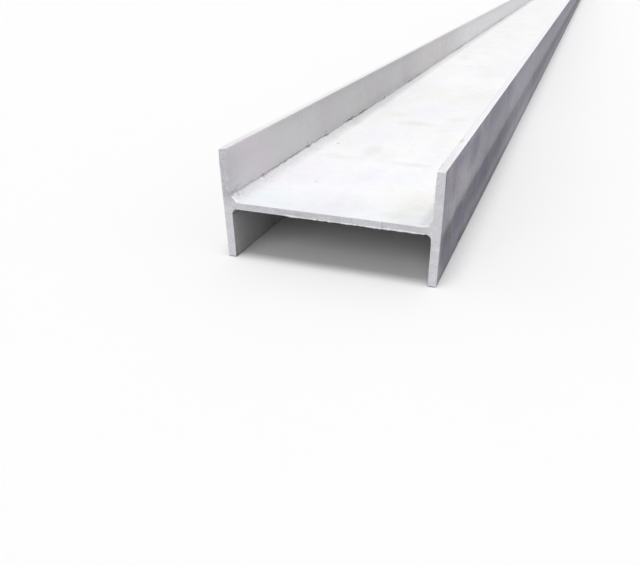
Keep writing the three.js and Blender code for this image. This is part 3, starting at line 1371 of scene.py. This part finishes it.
@dataclass(frozen=True)
class Studio:
    """A pale floor under soft daylight."""

    floor_size: float = 400.0  # side of the floor
    floor_drop: float = 0.2 * MM  # how far it lies under the toes
    sky_level: float = 0.30  # light from all round
    floor_seen: float = 0.90  # brightness of the floor to the eye and in reflections
    floor_bounce: float = 0.15  # brightness of the floor as it lights the beam
    lamps: tuple[Lamp, ...] = (
        Lamp("overhead", tilt_deg=6, heading_deg=180, spread_deg=26, level=0.54),
        Lamp("front", tilt_deg=70, heading_deg=185, spread_deg=60, level=0.41),
        Lamp("right", tilt_deg=72, heading_deg=90, spread_deg=70, level=0.10),
        Lamp("left", tilt_deg=72, heading_deg=270, spread_deg=70, level=0.12),
        Lamp("back", tilt_deg=72, heading_deg=0, spread_deg=70, level=0.14),
    )

    def build(self) -> None:
        """Adds the floor, the sky and the lamps."""
        half = self.floor_size / 2
        corners = np.array([[-half, -half], [half, -half], [-half, half], [half, half]])
        grid = np.concatenate([corners, np.full((4, 1), -self.floor_drop)], axis=1).reshape(2, 2, 3)
        floor = Patch.from_grid(grid).mesh_object("floor", crease_deg=30.0)
        floor.data.materials.append(self._floor_finish())
        self._sky()
        for lamp in self.lamps:
            lamp.build()

    def _floor_finish(self) -> bpy.types.Material:
        """The floor's matt finish: near white where it is seen, darker where it gives light."""
        material = bpy.data.materials.new("pale_floor")
        material.use_nodes = True
        graph = Graph(material.node_tree)
        surface = graph.named("BSDF_PRINCIPLED")
        surface.inputs["Roughness"].default_value = 1.0
        surface.inputs["Specular IOR Level"].default_value = 0.0
        colour = graph.mix(graph.seen(), grey(self.floor_bounce), grey(self.floor_seen))
        graph.feed(surface, "Base Color", colour)
        return material

    def _sky(self) -> None:
        """White where it is seen, and a plain soft light from all round."""
        world = bpy.data.worlds.new("soft_sky")
        bpy.context.scene.world = world
        world.use_nodes = True
        graph = Graph(world.node_tree)
        colour = graph.mix(graph.seen(), grey(self.sky_level), grey(1.0))
        graph.feed(graph.named("BACKGROUND"), "Color", colour)


@dataclass(frozen=True)
class ViewCamera:
    """The camera: it looks down along the beam from just outside the near end."""

    place: tuple[float, float, float] = (0.1847, -3.4816, 0.2437)  # its position
    turn_deg: tuple[float, float, float] = (56.353, -0.46, 18.754)  # its XYZ rotation
    lens_mm: float = 35.0
    sensor_mm: float = 36.0
    shift: tuple[float, float] = (-0.05, 0.125)  # sideways and upward shift, in sensor widths
    clip: tuple[float, float] = (0.02, 500.0)  # closest and furthest distance that it shows

    def build(self) -> None:
        """Adds the camera and makes it the scene's."""
        data = bpy.data.cameras.new("view_camera")
        data.sensor_width = self.sensor_mm
        data.lens = self.lens_mm
        data.shift_x, data.shift_y = self.shift
        data.clip_start, data.clip_end = self.clip
        camera = bpy.data.objects.new("view_camera", data)
        camera.location = self.place
        camera.rotation_euler = tuple(math.radians(turn) for turn in self.turn_deg)
        bpy.context.scene.collection.objects.link(camera)
        bpy.context.scene.camera = camera


# ------------------------------------------------------------------ the whole


def adopt(piece: bpy.types.Object, material: bpy.types.Material) -> bpy.types.Object:
    """Gives a piece its finish and makes it part of the beam.

    Args:
        piece: the piece.
        material: its finish.

    Returns:
        The same piece.
    """
    piece.data.materials.append(material)
    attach(piece, BODY)
    log.info("%s: %d faces", piece.name, len(piece.data.polygons))
    return piece


def main() -> None:
    """Builds the beam, its surroundings and the camera."""
    logging.basicConfig(level=logging.INFO, format="%(name)s: %(message)s")
    bpy.context.scene.view_settings.view_transform = "Standard"
    ViewCamera().build()
    Studio().build()

    low, high = (np.array(corner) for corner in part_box(NODE))
    half_depth, half_length, half_width = (high - low) / 2
    mid_height = (low[2] + high[2]) / 2
    place = (Section(half_depth, half_width), half_length, mid_height, Wear())
    steel = PickledSteel(*place).material()

    skin = adopt(BeamSkin(*place).build(), steel)
    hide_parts(NODE)
    uneven = {"lumps": 0.45 * MM, "dark_places": DARK_PLACES, "steps": (2400, 700)}
    bulging = {"fill": 0.9, "climb": 1.4 * MM, "sag": 3.0 * MM, "curl": 1.5 * MM}
    seams = (
        RootSeam(*place, Side.LEFT, Level.UPPER, **bulging, **uneven),
        RootSeam(*place, Side.LEFT, Level.LOWER),
        RootSeam(*place, Side.RIGHT, Level.UPPER, fill=0.10, **uneven),
        RootSeam(*place, Side.RIGHT, Level.LOWER),
    )
    for piece in (*seams, *(CutBurr(*place, end) for end in End)):
        adopt(piece.build(), steel)


if __name__ == "__main__":
    main()
